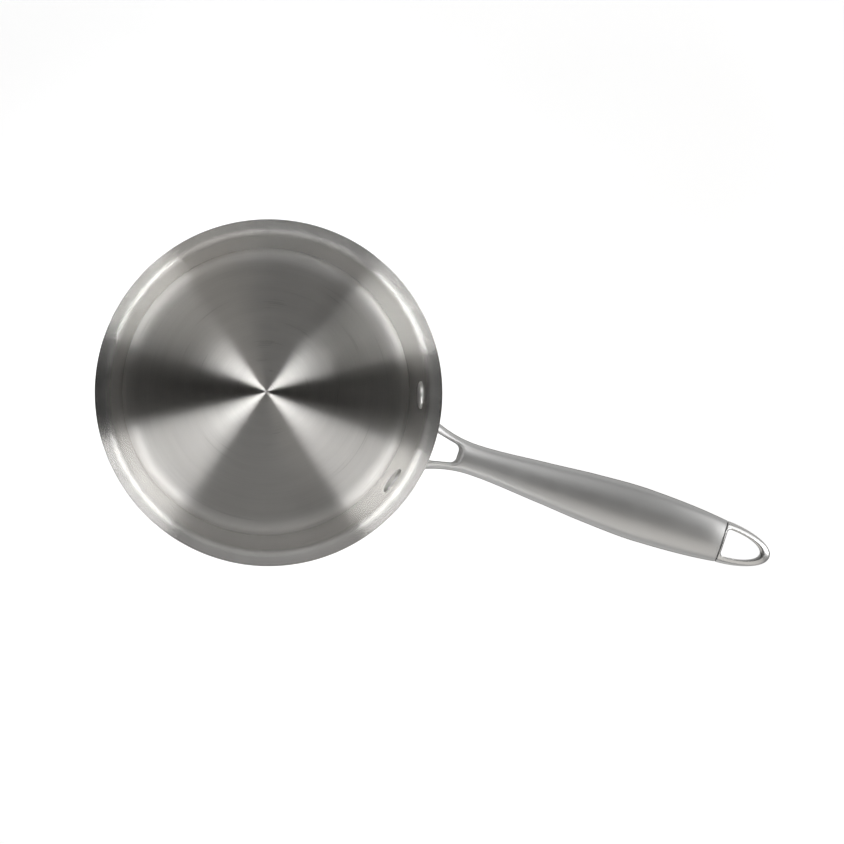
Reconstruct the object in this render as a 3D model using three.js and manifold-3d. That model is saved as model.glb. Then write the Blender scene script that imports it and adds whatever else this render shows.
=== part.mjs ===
// A clad steel saucepan with a flared pouring lip and a riveted hollow handle.
// Millimetres, +Z up along the pan's axis, origin under the middle of the base, handle along +X.

import * as THREE from 'three';
import { mergeVertices } from 'three/addons/utils/BufferGeometryUtils.js';
import Module from 'manifold-3d';

const wasm = await Module();
wasm.setup();

// Pan body
const innerRadius = 80;         // cooking wall just under the lip
const cavityDepth = 80;         // top of the lip down to the cooking floor
const cornerRadius = 13.5;      // reach of the inside corner between floor and wall
const cornerFullness = 3;       // exponent of the corner's curve, 2 is a circle
const wallDraft = 1.45;         // degrees that the wall leans outward
const linerThickness = 0.5;     // stainless cooking surface
const coreThickness = 1.6;      // aluminium
const shellThickness = 0.5;     // magnetic stainless outside
const bondGap = 0.05;           // bond line between two layers

// Flared lip
const flareRadius = 6.5;        // inside of the bend
const flareLean = 80;           // degrees that the lip leans outward
const lipLength = 2.66;         // straight stretch past the bend

// Rivets
const rivetDrop = 21;           // below the top of the lip
const rivetAngle = 17.3;        // degrees to either side of the handle
const rivetHeadDiameter = 14.3;
const rivetHeadHeight = 2.3;
const rivetHeadEdge = 0.5;      // upright edge under the dome
const rivetShankDiameter = 6;
const rivetTailDiameter = 10;
const rivetTailHeight = 1.8;
const rivetFit = 0.2;           // play between shank and hole
const seatGap = 0.2;            // play under heads, tails and feet

// Forked bracket
const footThickness = 3;
const footHeight = 20;
const prongGapAtWall = 20;      // between the prongs where they leave the wall
const prongGapAtCrotch = 8.9;
const crotchRadius = 2.6;
const crotchReach = 15.2;       // past the lip's edge, as are the reaches below
const prongRootWidth = 26.4;    // over both prongs, at the prong root
const prongRootReach = 2.4;     // past the feet
const prongRootHeight = 17;
const rootBlend = 5;            // the prong spreads into its foot over this length
const spigotLength = 14;        // into the grip
const spigotFit = 0.3;          // play between spigot or tang and the grip's bore

// Handle: widths, thicknesses and reaches
const neckReach = 23.1;
const shoulderReach = 60.9;
const swellReach = 86.8;
const palmReach = 116;
const gripEndReach = 158.2;
const neckWidth = 16.4;
const shoulderWidth = 21.6;
const swellWidth = 26.1;
const palmWidth = 28.4;
const gripEndWidth = 22.3;
const neckThickness = 12.5;
const shoulderThickness = 14.6;
const swellThickness = 16.8;
const palmThickness = 17.8;
const gripEndThickness = 14;
const gripWall = 1.2;
const weldGap = 0.3;            // between bracket and grip
const rootSlope = 7.5;          // degrees of rise where the handle leaves the wall
const endSlope = 4.8;           // degrees of rise at the hanging loop
const sectionFullness = 2.3;    // exponent of the handle's oval section, 2 is an ellipse
const prongFullness = 5;        // the same at the prong roots

// Hanging loop
const loopLength = 26.6;
const loopTaper = 1.7;          // exponent of the loop's outline, 2 is an ellipse
const loopTipThickness = 4.4;
const loopTipWidth = 2.6;       // flat at the very tip
const loopGap = 0.3;            // seam between grip and loop
const loopCap = 1;              // plate that closes the grip's end
const loopHoleLength = 20;
const loopHoleWidth = 14.5;
const loopHoleCorner = 1.8;
const tangLength = 10;

// Facets
const panFacets = 60;
const cornerSteps = 4;
const flareSteps = 4;
const rivetFacets = 20;
const domeSteps = 4;
const arcSteps = 8;
const sectionPoints = 24;
const stretchSteps = 4;         // rings between two stations of the handle
const loopSteps = 9;

// Worked out from the sizes above
const clad = linerThickness + coreThickness + shellThickness + 2 * bondGap;
const draft = THREE.MathUtils.degToRad(wallDraft);
const lean = THREE.MathUtils.degToRad(flareLean);
const lipHeight = flareRadius * (Math.sin(lean) - Math.sin(draft)) + lipLength * Math.cos(lean);
const wallHeight = cavityDepth - cornerRadius * (1 - Math.sin(draft)) - lipHeight;
const floorRadius = innerRadius - wallHeight * Math.tan(draft) - cornerRadius * Math.cos(draft);
const rimHeight = clad + cavityDepth;
const neckHeight = rimHeight - lipHeight;
const rivetHeight = rimHeight - rivetDrop;
const rivetAzimuth = THREE.MathUtils.degToRad(rivetAngle);
const rimRadius = innerRadius + flareRadius * (Math.cos(draft) - Math.cos(lean))
  + lipLength * Math.sin(lean) + clad * Math.cos(lean);
const wallAtRivet = innerRadius - (neckHeight - rivetHeight) * Math.tan(draft);
const outsideAtRivet = wallAtRivet + clad / Math.cos(draft);
const footRadius = outsideAtRivet + seatGap + footThickness;
const handleEnd = rimRadius + gripEndReach + loopGap + loopLength;

const finishes = {
  brushed: new THREE.MeshStandardMaterial({ color: 0xb4b4b3, metalness: 1, roughness: 0.35 }),
  aluminium: new THREE.MeshStandardMaterial({ color: 0xc6c8ca, metalness: 1, roughness: 0.5 }),
  outside: new THREE.MeshStandardMaterial({ color: 0xadadac, metalness: 1, roughness: 0.25 }),
  satin: new THREE.MeshStandardMaterial({ color: 0xa9a6a1, metalness: 1, roughness: 0.45 }),
  polished: new THREE.MeshStandardMaterial({ color: 0xc0bfbd, metalness: 1, roughness: 0.15 }),
};

// Solids
function toSolid(geometry) {
  const bare = geometry.index ? geometry.toNonIndexed() : geometry.clone();
  bare.deleteAttribute('normal');
  bare.deleteAttribute('uv');
  const merged = mergeVertices(bare);
  const corners = merged.index.array;
  const triVerts = [];
  for (let i = 0; i < corners.length; i += 3) {
    const [a, b, c] = [corners[i], corners[i + 1], corners[i + 2]];
    if (a !== b && b !== c && c !== a) triVerts.push(a, b, c);
  }
  return new wasm.Manifold(new wasm.Mesh({
    numProp: 3,
    vertProperties: new Float32Array(merged.attributes.position.array),
    triVerts: new Uint32Array(triVerts),
  }));
}

function toGeometry(solid) {
  const mesh = solid.getMesh();
  const geometry = new THREE.BufferGeometry();
  geometry.setAttribute('position', new THREE.BufferAttribute(new Float32Array(mesh.vertProperties), 3));
  geometry.setIndex(new THREE.BufferAttribute(new Uint32Array(mesh.triVerts), 1));
  geometry.computeVertexNormals();
  return geometry;
}

function named(name, geometry, material) {
  const mesh = new THREE.Mesh(geometry, material);
  mesh.name = name;
  return mesh;
}

// Turns a profile of (radius, height) points about Z.
function turned(profile, facets = panFacets) {
  return new THREE.LatheGeometry(profile, facets).rotateX(Math.PI / 2);
}

function extruded(shape, depth) {
  return new THREE.ExtrudeGeometry(shape, { depth, bevelEnabled: false, curveSegments: arcSteps });
}

// A closed body through rings of equal length, each ring turning anticlockwise seen from the far end.
function loft(rings) {
  const count = rings[0].length;
  const positions = rings.flat().flatMap((p) => [p.x, p.y, p.z]);
  const index = [];
  for (let i = 0; i + 1 < rings.length; i++) {
    for (let j = 0; j < count; j++) {
      const [a, b] = [i * count + j, i * count + ((j + 1) % count)];
      index.push(a, b, a + count, b, b + count, a + count);
    }
  }
  const last = (rings.length - 1) * count;
  for (let j = 1; j + 1 < count; j++) {
    index.push(0, j + 1, j);
    index.push(last, last + j, last + j + 1);
  }
  const geometry = new THREE.BufferGeometry();
  geometry.setAttribute('position', new THREE.Float32BufferAttribute(positions, 3));
  geometry.setIndex(index);
  return geometry;
}

// A closed trough between matching open rows: outside rows and inside rows.
function trough(outsideRows, insideRows) {
  const rings = outsideRows.map((row, i) => [...row, ...[...insideRows[i]].reverse()]);
  const geometry = loft(rings);
  const count = rings[0].length;
  const half = count / 2;
  const walls = (rings.length - 1) * count * 6;
  const index = Array.from(geometry.index.array.slice(0, walls));
  const last = (rings.length - 1) * count;
  for (let j = 0; j + 1 < half; j++) {
    const [a, b, c, d] = [j, j + 1, count - 2 - j, count - 1 - j];
    index.push(a, c, b, a, d, c);
    index.push(last + a, last + b, last + c, last + a, last + c, last + d);
  }
  geometry.setIndex(index);
  return geometry;
}

// Pan wall
// Points of the cooking surface from the axis to the lip, moved outward by an offset.
function wallCurve(offset) {
  const points = [new THREE.Vector2(0, clad - offset)];
  const corner = new THREE.Vector2(floorRadius, clad + cornerRadius);
  for (let i = 0; i <= cornerSteps; i++) {
    const angle = -Math.PI / 2 + (i / cornerSteps) * (Math.PI / 2 - draft);
    const reach = cornerRadius + offset;
    points.push(ovalPoint(angle, reach, reach, cornerFullness).add(corner));
  }
  const bend = new THREE.Vector2(
    innerRadius + flareRadius * Math.cos(draft),
    neckHeight - flareRadius * Math.sin(draft),
  );
  for (let i = 0; i <= flareSteps; i++) {
    const angle = Math.PI - draft - (i / flareSteps) * (lean - draft);
    const radius = flareRadius - offset;
    points.push(new THREE.Vector2(bend.x + radius * Math.cos(angle), bend.y + radius * Math.sin(angle)));
  }
  const bendEnd = points[points.length - 1];
  const lip = new THREE.Vector2(Math.sin(lean), Math.cos(lean)).multiplyScalar(lipLength);
  points.push(bendEnd.clone().add(lip));
  return points;
}

function cladLayer(innerOffset, outerOffset) {
  const profile = [...wallCurve(outerOffset), ...wallCurve(innerOffset).reverse()];
  return toSolid(turned(profile));
}

// Everything inside the pan's surface at an offset, closed above the lip.
function panVolume(offset) {
  const curve = wallCurve(offset);
  const top = new THREE.Vector2(0, curve[curve.length - 1].y);
  return toSolid(turned([...curve, top]));
}

// Turns a profile of (radius, distance from the pan's axis) about a rivet's line.
function onRivetLine(profile, side) {
  return new THREE.LatheGeometry(profile, rivetFacets)
    .rotateZ(-Math.PI / 2)
    .rotateZ(side * rivetAzimuth)
    .translate(0, 0, rivetHeight);
}

function rivetPin(radius, from, to, side) {
  const profile = [
    new THREE.Vector2(0, from),
    new THREE.Vector2(radius, from),
    new THREE.Vector2(radius, to),
    new THREE.Vector2(0, to),
  ];
  return toSolid(onRivetLine(profile, side));
}

function rivetHoles() {
  const radius = rivetShankDiameter / 2 + rivetFit;
  const from = wallAtRivet - cornerRadius;
  const to = footRadius + cornerRadius;
  return rivetPin(radius, from, to, 1).add(rivetPin(radius, from, to, -1));
}

// A domed button: the dome's crown first, then its edge, then a flat back.
function button(radius, height, edge, seat, back, side) {
  const inward = Math.sign(back - seat);
  const profile = [];
  for (let i = 0; i <= domeSteps; i++) {
    const angle = (i / domeSteps) * (Math.PI / 2);
    const rise = edge + (height - edge) * Math.cos(angle);
    profile.push(new THREE.Vector2(radius * Math.sin(angle), seat - inward * rise));
  }
  profile.push(new THREE.Vector2(radius, back), new THREE.Vector2(0, back));
  if (inward < 0) profile.reverse();
  return toSolid(onRivetLine(profile, side));
}

function rivet(side) {
  const headRadius = rivetHeadDiameter / 2;
  const tailRadius = rivetTailDiameter / 2;
  const headBlank = button(headRadius, rivetHeadHeight, rivetHeadEdge, wallAtRivet, outsideAtRivet, side);
  const tailBlank = button(tailRadius, rivetTailHeight, rivetHeadEdge, footRadius, outsideAtRivet, side);
  const footFace = turned([
    new THREE.Vector2(0, 0),
    new THREE.Vector2(footRadius + seatGap, 0),
    new THREE.Vector2(footRadius + seatGap, rimHeight),
    new THREE.Vector2(0, rimHeight),
  ], 2 * panFacets);
  const head = headBlank.intersect(panVolume(-seatGap));
  const tail = tailBlank.subtract(toSolid(footFace));
  const shankStart = wallAtRivet - rivetHeadHeight / 2;
  const shankEnd = footRadius + rivetTailHeight / 2;
  const shank = rivetPin(rivetShankDiameter / 2, shankStart, shankEnd, side);
  return toGeometry(head.add(shank).add(tail));
}

// Handle line
const gripStations = [
  { reach: neckReach, width: neckWidth, thickness: neckThickness },
  { reach: shoulderReach, width: shoulderWidth, thickness: shoulderThickness },
  { reach: swellReach, width: swellWidth, thickness: swellThickness },
  { reach: palmReach, width: palmWidth, thickness: palmThickness },
  { reach: gripEndReach, width: gripEndWidth, thickness: gripEndThickness },
].map((s) => ({ x: rimRadius + s.reach, width: s.width, thickness: s.thickness }));

// Point on the handle's middle line and its slope, at a distance from the pan's axis.
function handleLine(x) {
  const along = x - footRadius;
  const [first, last] = [rootSlope, endSlope].map((a) => Math.tan(THREE.MathUtils.degToRad(a)));
  const bend = (first - last) / (handleEnd - footRadius);
  const z = rivetHeight + along * first - (bend * along * along) / 2;
  return { x, z, slope: Math.atan(first - bend * along) };
}

// Smooth value through the grip's stations, level at the neck.
function alongGrip(key, x) {
  const s = gripStations;
  const steepness = (i) => {
    if (i === 0) return 0;
    const [a, b] = [s[i - 1], s[Math.min(i + 1, s.length - 1)]];
    const chord = (b[key] - a[key]) / (b.x - a.x);
    return i === s.length - 1 ? 2 * chord : chord;
  };
  let i = 0;
  while (i + 2 < s.length && x > s[i + 1].x) i++;
  const span = s[i + 1].x - s[i].x;
  const t = (x - s[i].x) / span;
  const start = (1 + 2 * t) * (1 - t) ** 2 * s[i][key] + t * (1 - t) ** 2 * span * steepness(i);
  const end = t * t * (3 - 2 * t) * s[i + 1][key] + t * t * (t - 1) * span * steepness(i + 1);
  return start + end;
}

// Point of an oval with squared shoulders, angle from +Y towards up.
function ovalPoint(angle, halfWidth, halfThickness, fullness) {
  const [c, s] = [Math.cos(angle), Math.sin(angle)];
  const power = 2 / fullness;
  return new THREE.Vector2(
    halfWidth * Math.sign(c) * Math.abs(c) ** power,
    halfThickness * Math.sign(s) * Math.abs(s) ** power,
  );
}

// Oval row square to the handle's line, between two angles.
function ovalRow(x, width, thickness, fullness, from, to, count) {
  const { z, slope } = handleLine(x);
  const row = [];
  for (let j = 0; j < count; j++) {
    const p = ovalPoint(from + (j / (count - 1)) * (to - from), width / 2, thickness / 2, fullness);
    row.push(new THREE.Vector3(x - p.y * Math.sin(slope), p.x, z + p.y * Math.cos(slope)));
  }
  return row;
}

function ovalRing(x, width, thickness, fullness) {
  const row = ovalRow(x, width, thickness, fullness, 0, 2 * Math.PI, sectionPoints + 1);
  return row.slice(0, sectionPoints);
}

// Places of the rings from one station to another, with even steps between.
function gripPlaces() {
  const places = [gripStations[0].x];
  for (let i = 0; i + 1 < gripStations.length; i++) {
    for (let k = 1; k <= stretchSteps; k++) {
      places.push(THREE.MathUtils.lerp(gripStations[i].x, gripStations[i + 1].x, k / stretchSteps));
    }
  }
  return places;
}

// Grip
function gripHalf(from, to) {
  const count = sectionPoints / 2 + 1;
  const rows = (inset) => gripPlaces().map((x) => ovalRow(
    x,
    alongGrip('width', x) - 2 * inset,
    alongGrip('thickness', x) - 2 * inset,
    sectionFullness,
    from,
    to,
    count,
  ));
  return trough(rows(0), rows(gripWall));
}

// Bracket
// Plan of the fork on the +Y side, from the neck round to the crotch.
function forkHalfPlan() {
  const neckX = rimRadius + neckReach;
  const rootX = footRadius + prongRootReach;
  const crotchX = rimRadius + crotchReach;
  const rootHalf = prongRootWidth / 2;
  const wallHalf = prongGapAtWall / 2;
  const crotchHalf = prongGapAtCrotch / 2;
  const footY = rootHalf + rootBlend;
  const footX = Math.sqrt(footRadius ** 2 - footY ** 2);
  const gapStart = new THREE.Vector2(Math.sqrt(wallAtRivet ** 2 - wallHalf ** 2), wallHalf);
  const crotchCorner = new THREE.Vector2(crotchX, crotchHalf);
  const cornerStart = crotchCorner.clone().sub(gapStart).setLength(-crotchRadius).add(crotchCorner);
  const path = new THREE.Path();
  path.moveTo(neckX + neckThickness, neckWidth / 2);
  path.lineTo(neckX, neckWidth / 2);
  path.quadraticCurveTo((neckX + rootX) / 2, neckWidth / 2, rootX, rootHalf);
  path.quadraticCurveTo(footRadius, rootHalf + prongRootReach / 2, footX, footY);
  path.lineTo(Math.sqrt(wallAtRivet ** 2 - footY ** 2), footY);
  path.lineTo(gapStart.x, gapStart.y);
  path.lineTo(cornerStart.x, cornerStart.y);
  path.quadraticCurveTo(crotchX, crotchHalf, crotchX, crotchHalf - crotchRadius);
  return path.getPoints(arcSteps);
}

function forkPlan() {
  const half = forkHalfPlan();
  const mirrored = half.map((p) => new THREE.Vector2(p.x, -p.y)).reverse();
  return new THREE.Shape([...half, ...mirrored]);
}

// Oval sleeve that gives the fork its height, from inside the wall to the neck.
function forkSleeve() {
  const startX = outsideAtRivet - prongRootWidth;
  const neckX = rimRadius + neckReach - weldGap;
  const steps = 2 * stretchSteps;
  const rings = [];
  for (let i = 0; i <= steps; i++) {
    const t = i / steps;
    const x = THREE.MathUtils.lerp(startX, neckX, t);
    const ease = (1 - t) ** 2;
    rings.push(ovalRing(
      x,
      THREE.MathUtils.lerp(neckWidth, 2 * prongRootWidth + footHeight, ease),
      THREE.MathUtils.lerp(neckThickness, prongRootHeight, 1 - t * t),
      THREE.MathUtils.lerp(sectionFullness, prongFullness, 1 - t * t),
    ));
  }
  return toSolid(loft(rings));
}

// Pad on the wall round one rivet, rounded at its far end.
function foot(side) {
  const reach = footRadius * Math.sin(rivetAzimuth);
  const pad = footHeight / 2;
  const spread = side * Math.asin((reach + pad) / footRadius);
  const inside = side * Math.asin(prongGapAtWall / 2 / footRadius);
  const band = new THREE.Shape();
  band.absarc(0, 0, footRadius, inside, spread, side < 0);
  band.absarc(0, 0, wallAtRivet, spread, inside, side > 0);
  const plate = extruded(band, footHeight).translate(0, 0, rivetHeight - pad);
  const outline = new THREE.Shape();
  outline.absarc(side * reach, 0, pad, side * -Math.PI / 2, side * Math.PI / 2, false);
  outline.lineTo(0, side * pad);
  outline.lineTo(0, side * -pad);
  const acrossX = new THREE.Matrix4().makeBasis(
    new THREE.Vector3(0, 1, 0),
    new THREE.Vector3(0, 0, 1),
    new THREE.Vector3(1, 0, 0),
  );
  const stamp = extruded(outline, rimRadius).applyMatrix4(acrossX).translate(0, 0, rivetHeight);
  return toSolid(plate).intersect(toSolid(stamp));
}

function spigot() {
  const inset = 2 * (gripWall + spigotFit);
  const neckX = rimRadius + neckReach;
  const places = [neckX - 2 * weldGap - gripWall, neckX + spigotLength / 2, neckX + spigotLength];
  const rings = places.map((x) => ovalRing(
    x,
    alongGrip('width', Math.max(x, neckX)) - inset,
    alongGrip('thickness', Math.max(x, neckX)) - inset,
    sectionFullness,
  ));
  return toSolid(loft(rings));
}

function bracket() {
  const height = 4 * prongRootHeight;
  const plan = extruded(forkPlan(), height).translate(0, 0, rivetHeight - height / 2);
  const fork = toSolid(plan).intersect(forkSleeve());
  const seated = fork.add(foot(1)).add(foot(-1)).subtract(panVolume(clad + seatGap));
  return toGeometry(seated.subtract(rivetHoles()).add(spigot()));
}

// Hanging loop, laid along its own X from the grip's end and then turned to the handle's slope.
function loopRing(x, width, thickness, fullness) {
  const ring = [];
  for (let j = 0; j < sectionPoints; j++) {
    const p = ovalPoint((j / sectionPoints) * 2 * Math.PI, width / 2, thickness / 2, fullness);
    ring.push(new THREE.Vector3(x, p.x, p.y));
  }
  return ring;
}

function loopBody() {
  const rings = [];
  for (let i = 0; i <= loopSteps; i++) {
    const t = Math.sin((i / loopSteps) * (Math.PI / 2));
    rings.push(loopRing(
      t * loopLength,
      Math.hypot(loopTipWidth, gripEndWidth * Math.sqrt(1 - t ** loopTaper)),
      THREE.MathUtils.lerp(gripEndThickness, loopTipThickness, t),
      sectionFullness,
    ));
  }
  return toSolid(loft(rings));
}

function loopHole() {
  const half = loopHoleWidth / 2;
  const outline = new THREE.Shape();
  outline.moveTo(loopCap, -half + loopHoleCorner);
  outline.quadraticCurveTo(loopCap, -half, loopCap + loopHoleCorner, -half);
  outline.absellipse(loopCap, 0, loopHoleLength, half, Math.asin(-1) + loopHoleCorner / loopHoleLength,
    Math.asin(1) - loopHoleCorner / loopHoleLength, false);
  outline.lineTo(loopCap + loopHoleCorner, half);
  outline.quadraticCurveTo(loopCap, half, loopCap, half - loopHoleCorner);
  const depth = 2 * gripEndThickness;
  return toSolid(extruded(outline, depth).translate(0, 0, -depth / 2));
}

function loopTang() {
  const inset = 2 * (gripWall + spigotFit);
  const endX = rimRadius + gripEndReach;
  const places = [-tangLength, loopCap / 2];
  const rings = places.map((x) => loopRing(
    x,
    Math.min(alongGrip('width', endX), alongGrip('width', endX + x)) - inset,
    Math.min(alongGrip('thickness', endX), alongGrip('thickness', endX + x)) - inset,
    sectionFullness,
  ));
  return toSolid(loft(rings));
}

function hangingLoop() {
  return toGeometry(loopBody().subtract(loopHole()).add(loopTang()));
}

// Assembly
const saucepan = new THREE.Group();
const holes = rivetHoles();
const linerOutside = linerThickness;
const coreInside = linerOutside + bondGap;
const coreOutside = coreInside + coreThickness;
const shellInside = coreOutside + bondGap;
saucepan.add(
  named('cooking_liner', toGeometry(cladLayer(0, linerOutside).subtract(holes)), finishes.brushed),
  named('aluminium_core', toGeometry(cladLayer(coreInside, coreOutside).subtract(holes)), finishes.aluminium),
  named('outer_shell', toGeometry(cladLayer(shellInside, clad).subtract(holes)), finishes.outside),
  named('handle_bracket', bracket(), finishes.satin),
  named('grip_upper_half', gripHalf(0, Math.PI), finishes.satin),
  named('grip_lower_half', gripHalf(Math.PI, 2 * Math.PI), finishes.satin),
  named('rivet_left', rivet(1), finishes.polished),
  named('rivet_right', rivet(-1), finishes.polished),
);

const loopSeat = handleLine(rimRadius + gripEndReach);
const loop = named('hanging_loop', hangingLoop(), finishes.polished);
loop.rotation.y = -loopSeat.slope;
loop.position.set(
  loopSeat.x + loopGap * Math.cos(loopSeat.slope),
  0,
  loopSeat.z + loopGap * Math.sin(loopSeat.slope),
);
saucepan.add(loop);

export default saucepan;
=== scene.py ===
"""A clad stainless saucepan with a flared lip, a forked riveted handle and a hanging loop.

Sizes are in millimetres and become metres when a mesh is made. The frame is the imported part's:
+Z up along the pan's axis, origin under the middle of the base, handle along +X.
"""

import logging
import math
from dataclasses import dataclass, field
from enum import Enum
from typing import Any, Callable

import bmesh
import bpy
import numpy as np
from mathutils import Matrix, Vector


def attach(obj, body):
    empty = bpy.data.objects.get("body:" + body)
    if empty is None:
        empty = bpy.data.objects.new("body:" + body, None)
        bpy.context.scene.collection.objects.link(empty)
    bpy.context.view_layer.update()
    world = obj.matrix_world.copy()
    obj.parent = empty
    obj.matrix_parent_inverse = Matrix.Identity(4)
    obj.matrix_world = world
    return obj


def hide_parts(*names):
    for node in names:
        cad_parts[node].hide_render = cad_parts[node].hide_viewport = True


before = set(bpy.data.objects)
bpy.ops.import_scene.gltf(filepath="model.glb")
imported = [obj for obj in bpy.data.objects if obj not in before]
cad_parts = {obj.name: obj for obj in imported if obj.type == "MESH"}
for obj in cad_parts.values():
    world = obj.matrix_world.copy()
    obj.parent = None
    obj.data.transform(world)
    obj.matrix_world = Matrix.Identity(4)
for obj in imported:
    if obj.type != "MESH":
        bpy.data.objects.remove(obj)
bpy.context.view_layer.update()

MM = 0.001
BODY = "root"
SKIN_CREASE = 50.0
SLIDE_ROUNDS = 4
PLACE_ROUNDS = 3
LEAST_SLOPE = 1e-3
QUARTER_TURN = 0.25
FULL_SPREAD = 180.0

# Numbers of a Mix node's colour sockets, which share their names with its other sockets.
MIX_FIRST = 6
MIX_SECOND = 7
MIX_RESULT = 2

Array = np.ndarray
Socket = bpy.types.NodeSocket
Color = tuple[float, float, float]
Point = tuple[float, float, float]
Pair = tuple[float, float]
Field = Callable[[Array, Array, Array], Array]
Faces = list[tuple[int, ...]]

log = logging.getLogger("saucepan")


# Mesh tools


def mesh_piece(name: str, points: Array, faces: Faces, crease: float = 35.0) -> bpy.types.Object:
    """Makes a smooth shaded object from points in millimetres.

    Args:
        name: Name of the object and its mesh.
        points: Point coordinates, one row each.
        faces: Point numbers of each face.
        crease: Edges bent more than this many degrees stay sharp.

    Returns:
        The new object, linked to the scene.
    """
    mesh = bpy.data.meshes.new(name)
    mesh.from_pydata((points * MM).tolist(), [], faces)
    work = bmesh.new()
    work.from_mesh(mesh)
    bmesh.ops.recalc_face_normals(work, faces=work.faces)
    work.to_mesh(mesh)
    work.free()
    mesh.shade_smooth()
    mesh.set_sharp_from_angle(angle=math.radians(crease))
    piece = bpy.data.objects.new(name, mesh)
    bpy.context.scene.collection.objects.link(piece)
    return piece


def lathe(profile: Array, segments: int) -> tuple[Array, Faces]:
    """Turns a profile that starts and ends on the axis about Z.

    Args:
        profile: Rows of (radius, height).
        segments: Number of steps round the axis.

    Returns:
        The points and the faces of the closed body.
    """
    angles = np.arange(segments) * 2 * math.pi / segments
    circle = np.column_stack((np.cos(angles), np.sin(angles)))
    rings = profile[1:-1]
    turned = [np.column_stack((r * circle, np.full(segments, z))) for r, z in rings]
    poles = np.array([[0, 0, profile[0][1]], [0, 0, profile[-1][1]]])
    points = np.vstack(turned + [poles])
    first_pole = len(rings) * segments
    last_ring = first_pole - segments
    faces: Faces = []
    for j in range(segments):
        k = (j + 1) % segments
        faces.append((first_pole, k, j))
        faces.append((first_pole + 1, last_ring + j, last_ring + k))
        for row in range(0, last_ring, segments):
            faces.append((row + j, row + k, row + segments + k, row + segments + j))
    return points, faces


def spaced(low: float, high: float, step: float) -> Array:
    """Evenly spaced places from low to high, both among them."""
    return np.linspace(low, high, round((high - low) / step) + 1)


def eased(before: Array, corner: Array, after: Array, steps: int = 5) -> Array:
    """Short curve that rounds a corner of a section, from the point before it to the one after."""
    t = np.linspace(0, 1, steps)[:, None]
    return (1 - t) ** 2 * before + 2 * t * (1 - t) * corner + t ** 2 * after


def common(a: Array, b: Array, radius: float | Array) -> Array:
    """Field of what two forms share, with its edges rounded to a radius."""
    over = np.hypot(np.maximum(a + radius, 0), np.maximum(b + radius, 0))
    return np.minimum(np.maximum(a, b), -radius) + over


def joined(a: Array, b: Array, radius: float) -> Array:
    """Field of two forms together, with a fillet of a radius between them."""
    under = np.hypot(np.maximum(radius - a, 0), np.maximum(radius - b, 0))
    return np.maximum(np.minimum(a, b), radius) - under


def slope_of(form: Field, x: Array, y: Array, z: Array) -> list[Array]:
    """Rise of a field along X, Y and Z, by central differences.

    Args:
        form: The field.
        x: Places along X.
        y: Places along Y.
        z: Places along Z.

    Returns:
        The three rises.
    """
    step = 0.01
    return [
        (form(x + step, y, z) - form(x - step, y, z)) / (2 * step),
        (form(x, y + step, z) - form(x, y - step, z)) / (2 * step),
        (form(x, y, z + step) - form(x, y, z - step)) / (2 * step),
    ]


def as_distance(form: Field) -> Field:
    """Scales a field so that its value near the skin is about a distance in millimetres.

    Args:
        form: Field that is negative inside.

    Returns:
        The scaled field.
    """

    def distance(x: Array, y: Array, z: Array) -> Array:
        """Value of the field over its own slope."""
        steepness = np.sqrt(sum(r * r for r in slope_of(form, x, y, z)))
        return form(x, y, z) / np.maximum(steepness, LEAST_SLOPE)

    return distance


def skin(form: Field, xs: Array, ys: Array, zs: Array) -> tuple[Array, Faces]:
    """Lays a closed quad skin on the zero surface of a field.

    Each grid cell that the surface crosses gets one point, and each crossed grid edge one face.
    The points then slide along the field's slope until they lie on the surface.

    Args:
        form: Field that is negative inside.
        xs: Grid places along X, rising.
        ys: Grid places along Y, rising.
        zs: Grid places along Z, rising.

    Returns:
        The points and the faces.
    """
    axes = (xs, ys, zs)
    grid = np.meshgrid(*axes, indexing="ij", sparse=True)
    value = form(*grid)
    inside = value < 0
    cells = tuple(len(a) - 1 for a in axes)
    total = np.zeros(cells + (3,))
    count = np.zeros(cells, int)
    crossed_edges = []
    for axis in range(3):
        low = [slice(None)] * 3
        high = [slice(None)] * 3
        low[axis], high[axis] = slice(None, -1), slice(1, None)
        before, after = value[tuple(low)], value[tuple(high)]
        crossed = inside[tuple(low)] != inside[tuple(high)]
        part = np.where(crossed, before / np.where(crossed, before - after, 1), 0)
        place = [np.broadcast_to(g[tuple(low)] if g.shape[axis] > 1 else g, part.shape) for g in grid]
        stride = np.diff(axes[axis]).reshape([-1 if a == axis else 1 for a in range(3)])
        place[axis] = place[axis] + part * stride
        spot = np.stack(place, axis=-1) * crossed[..., None]
        sides = [a for a in range(3) if a != axis]
        for first in (slice(None, -1), slice(1, None)):
            for second in (slice(None, -1), slice(1, None)):
                pick = [slice(None)] * 3
                pick[sides[0]], pick[sides[1]] = first, second
                total += spot[tuple(pick)]
                count += crossed[tuple(pick)]
        crossed_edges.append((axis, sides, np.argwhere(crossed)))
    used = count > 0
    number = np.full(cells, -1)
    number[used] = np.arange(used.sum())
    points = total[used] / count[used][:, None]
    faces: Faces = []
    for axis, sides, edges in crossed_edges:
        corners = []
        for first, second in ((1, 1), (0, 1), (0, 0), (1, 0)):
            cell = edges.copy()
            cell[:, sides[0]] -= first
            cell[:, sides[1]] -= second
            corners.append(number[tuple(cell.T)])
        faces.extend(map(tuple, np.column_stack(corners).tolist()))
    for _ in range(SLIDE_ROUNDS):
        x, y, z = points.T
        rise = np.stack(slope_of(form, x, y, z), axis=1)
        steepness = np.maximum((rise * rise).sum(axis=1), LEAST_SLOPE ** 2)
        points = points - rise * (form(x, y, z) / steepness)[:, None]
    return points, faces


# Shader tools


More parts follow.
